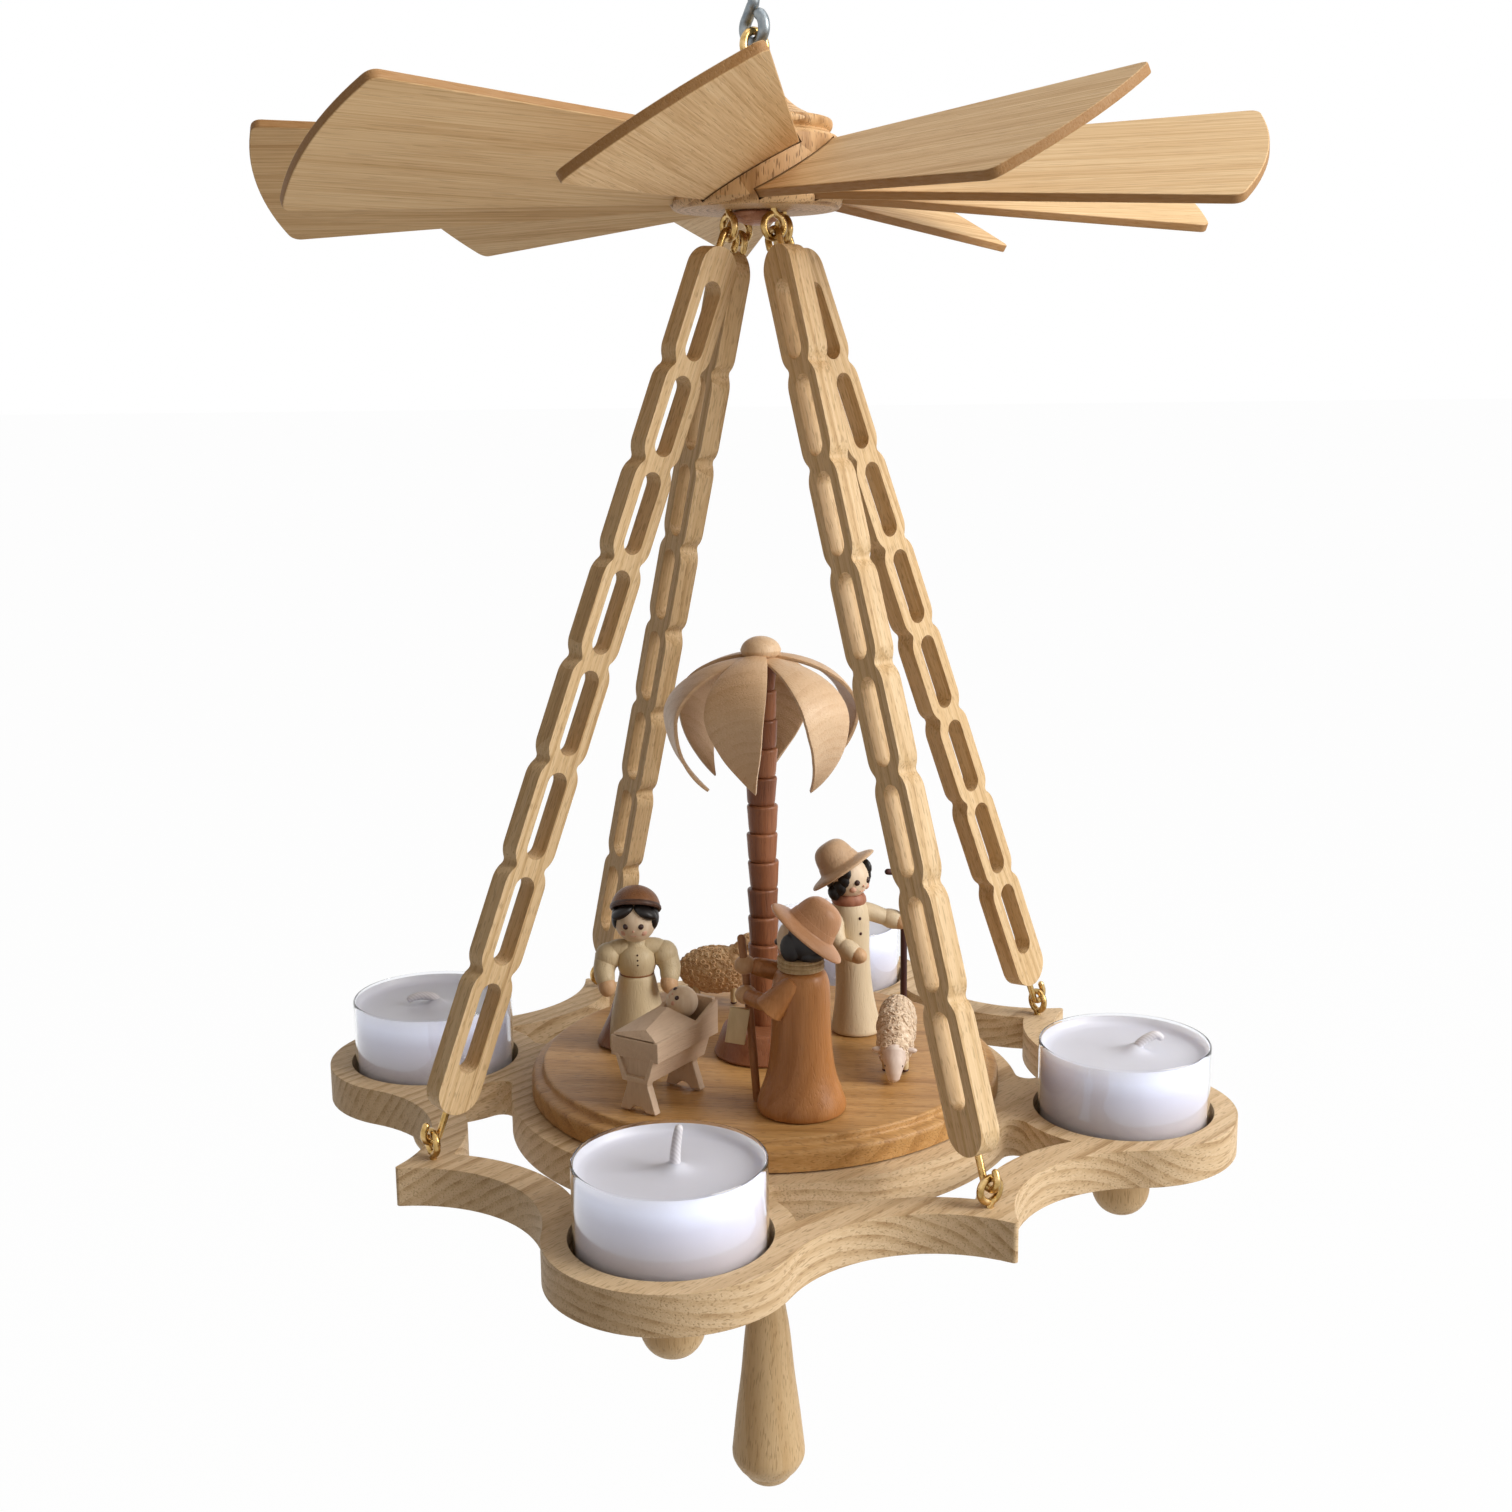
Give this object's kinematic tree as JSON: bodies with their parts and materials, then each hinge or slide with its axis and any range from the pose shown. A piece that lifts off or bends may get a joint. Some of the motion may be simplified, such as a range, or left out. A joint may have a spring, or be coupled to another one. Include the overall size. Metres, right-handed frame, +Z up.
{
  "type": "candle carousel",
  "caption": "Hanging wooden candle carousel: a vaned hub turns on a wire hook and carries, on slotted arms, a lobed board with tealights, a palm and small figures.",
  "frame": {"origin": "the point inside the top of the hanger's upper hook, where it bears on whatever holds the carousel up", "axes": "+Z up along the carousel's axis; -Y towards the picture's camera; +X to the picture's right"},
  "size_m": [0.2142, 0.2134, 0.3951],
  "materials": {
    "galvanised_steel": "galvanised steel wire",
    "bearing_steel": "polished bearing steel",
    "brass": "bright brass wire",
    "turned_beech": "turned and oiled",
    "rosy_beech": "turned and oiled",
    "vane_wood": "thin sawn slat, sanded",
    "arm_wood": "milled slat, sanded",
    "plate_wood": "milled board, sanded",
    "platform_wood": "turned disc, stained",
    "finial_wood": "turned and oiled",
    "palm_brown": "turned, brown stain",
    "leaf_wood": "bent shaving, varnished",
    "figure_wood": "turned and varnished",
    "cherry_wood": "turned, cherry stain",
    "pale_wood": "carved, unstained",
    "wool": "carved, curly flock",
    "clear_cup": "clear",
    "wax": "smooth, slightly translucent"
  },
  "bodies": {
    "hanger_wire": {"hanger": "galvanised_steel"},
    "swivel": {"swivel_hook": "brass", "thrust_bearing": "bearing_steel", "spindle_nut": "brass"},
    "rotor": {"hub": "turned_beech", "hub_bush": "brass", "hub_plug": "rosy_beech", "vane_1": "vane_wood", "vane_2": "vane_wood", "vane_3": "vane_wood", "vane_4": "vane_wood", "vane_5": "vane_wood", "vane_6": "vane_wood", "vane_7": "vane_wood", "vane_8": "vane_wood", "vane_9": "vane_wood", "hub_eye_1": "brass", "hub_eye_2": "brass", "hub_eye_3": "brass", "hub_eye_4": "brass"},
    "gondola": {"base_plate": "plate_wood", "platform": "platform_wood", "finial": "finial_wood", "palm_trunk": "palm_brown", "palm_crown": "leaf_wood", "woman_figure": "figure_wood", "lantern_man_figure": "cherry_wood", "shepherd_figure": "figure_wood", "manger": "pale_wood", "infant_figure": "pale_wood", "near_sheep": "wool", "far_sheep": "wool", "lobe_knob_1": "finial_wood", "lobe_knob_2": "finial_wood", "lobe_knob_3": "finial_wood", "lobe_knob_4": "finial_wood", "plate_eye_1": "brass", "plate_eye_2": "brass", "plate_eye_3": "brass", "plate_eye_4": "brass"},
    "hanging_arm_1": {"arm_1": "arm_wood", "arm_top_hook_1": "brass", "arm_bottom_hook_1": "brass"},
    "hanging_arm_2": {"arm_2": "arm_wood", "arm_top_hook_2": "brass", "arm_bottom_hook_2": "brass"},
    "hanging_arm_3": {"arm_3": "arm_wood", "arm_top_hook_3": "brass", "arm_bottom_hook_3": "brass"},
    "hanging_arm_4": {"arm_4": "arm_wood", "arm_top_hook_4": "brass", "arm_bottom_hook_4": "brass"},
    "tealight_1": {"candle_cup_1": "clear_cup", "candle_wax_1": "wax"},
    "tealight_2": {"candle_cup_2": "clear_cup", "candle_wax_2": "wax"},
    "tealight_3": {"candle_cup_3": "clear_cup", "candle_wax_3": "wax"},
    "tealight_4": {"candle_cup_4": "clear_cup", "candle_wax_4": "wax"}
  },
  "joints": [
    {"name": "hook_swing", "type": "hinge", "parent": "hanger_wire", "child": "swivel", "pos_m": [0, 0, -0.0531], "axis": [0.6428, -0.766, 0], "range_deg": [-20, 20]},
    {"name": "carousel_spin", "type": "hinge", "parent": "swivel", "child": "rotor", "pos_m": [0, 0, -0.0876], "axis": [0, 0, 1], "continuous": true},
    {"name": "gondola_twist", "type": "hinge", "parent": "rotor", "child": "gondola", "pos_m": [0, 0, -0.28694], "axis": [0, 0, 1], "range_deg": [-4, 4], "stiffness_Nm_per_rad": 0.009},
    {"name": "arm_1_swing", "type": "hinge", "parent": "rotor", "child": "hanging_arm_1", "pos_m": [0.0036, -0.006, -0.0919], "axis": [0.5141, -0.8577, 0], "range_deg": [-1.9, 1.9]},
    {"name": "arm_2_swing", "type": "hinge", "parent": "rotor", "child": "hanging_arm_2", "pos_m": [0.006, 0.0036, -0.0919], "axis": [0.8577, 0.5141, 0], "range_deg": [-1.9, 1.9]},
    {"name": "arm_3_swing", "type": "hinge", "parent": "rotor", "child": "hanging_arm_3", "pos_m": [-0.0036, 0.006, -0.0919], "axis": [-0.5141, 0.8577, 0], "range_deg": [-1.9, 1.9]},
    {"name": "arm_4_swing", "type": "hinge", "parent": "rotor", "child": "hanging_arm_4", "pos_m": [-0.006, -0.0036, -0.0919], "axis": [-0.8577, -0.5141, 0], "range_deg": [-1.9, 1.9]},
    {"name": "candle_1_lift", "type": "slide", "parent": "gondola", "child": "tealight_1", "axis": [0, 0, 1], "range_m": [0, 0.04]},
    {"name": "candle_2_lift", "type": "slide", "parent": "gondola", "child": "tealight_2", "axis": [0, 0, 1], "range_m": [0, 0.04]},
    {"name": "candle_3_lift", "type": "slide", "parent": "gondola", "child": "tealight_3", "axis": [0, 0, 1], "range_m": [0, 0.04]},
    {"name": "candle_4_lift", "type": "slide", "parent": "gondola", "child": "tealight_4", "axis": [0, 0, 1], "range_m": [0, 0.04]}
  ],
  "couplings": [
    {"joint": "arm_1_swing", "follows": "gondola_twist", "ratio": 0.44103},
    {"joint": "arm_2_swing", "follows": "gondola_twist", "ratio": 0.44103},
    {"joint": "arm_3_swing", "follows": "gondola_twist", "ratio": 0.44103},
    {"joint": "arm_4_swing", "follows": "gondola_twist", "ratio": 0.44103}
  ]
}
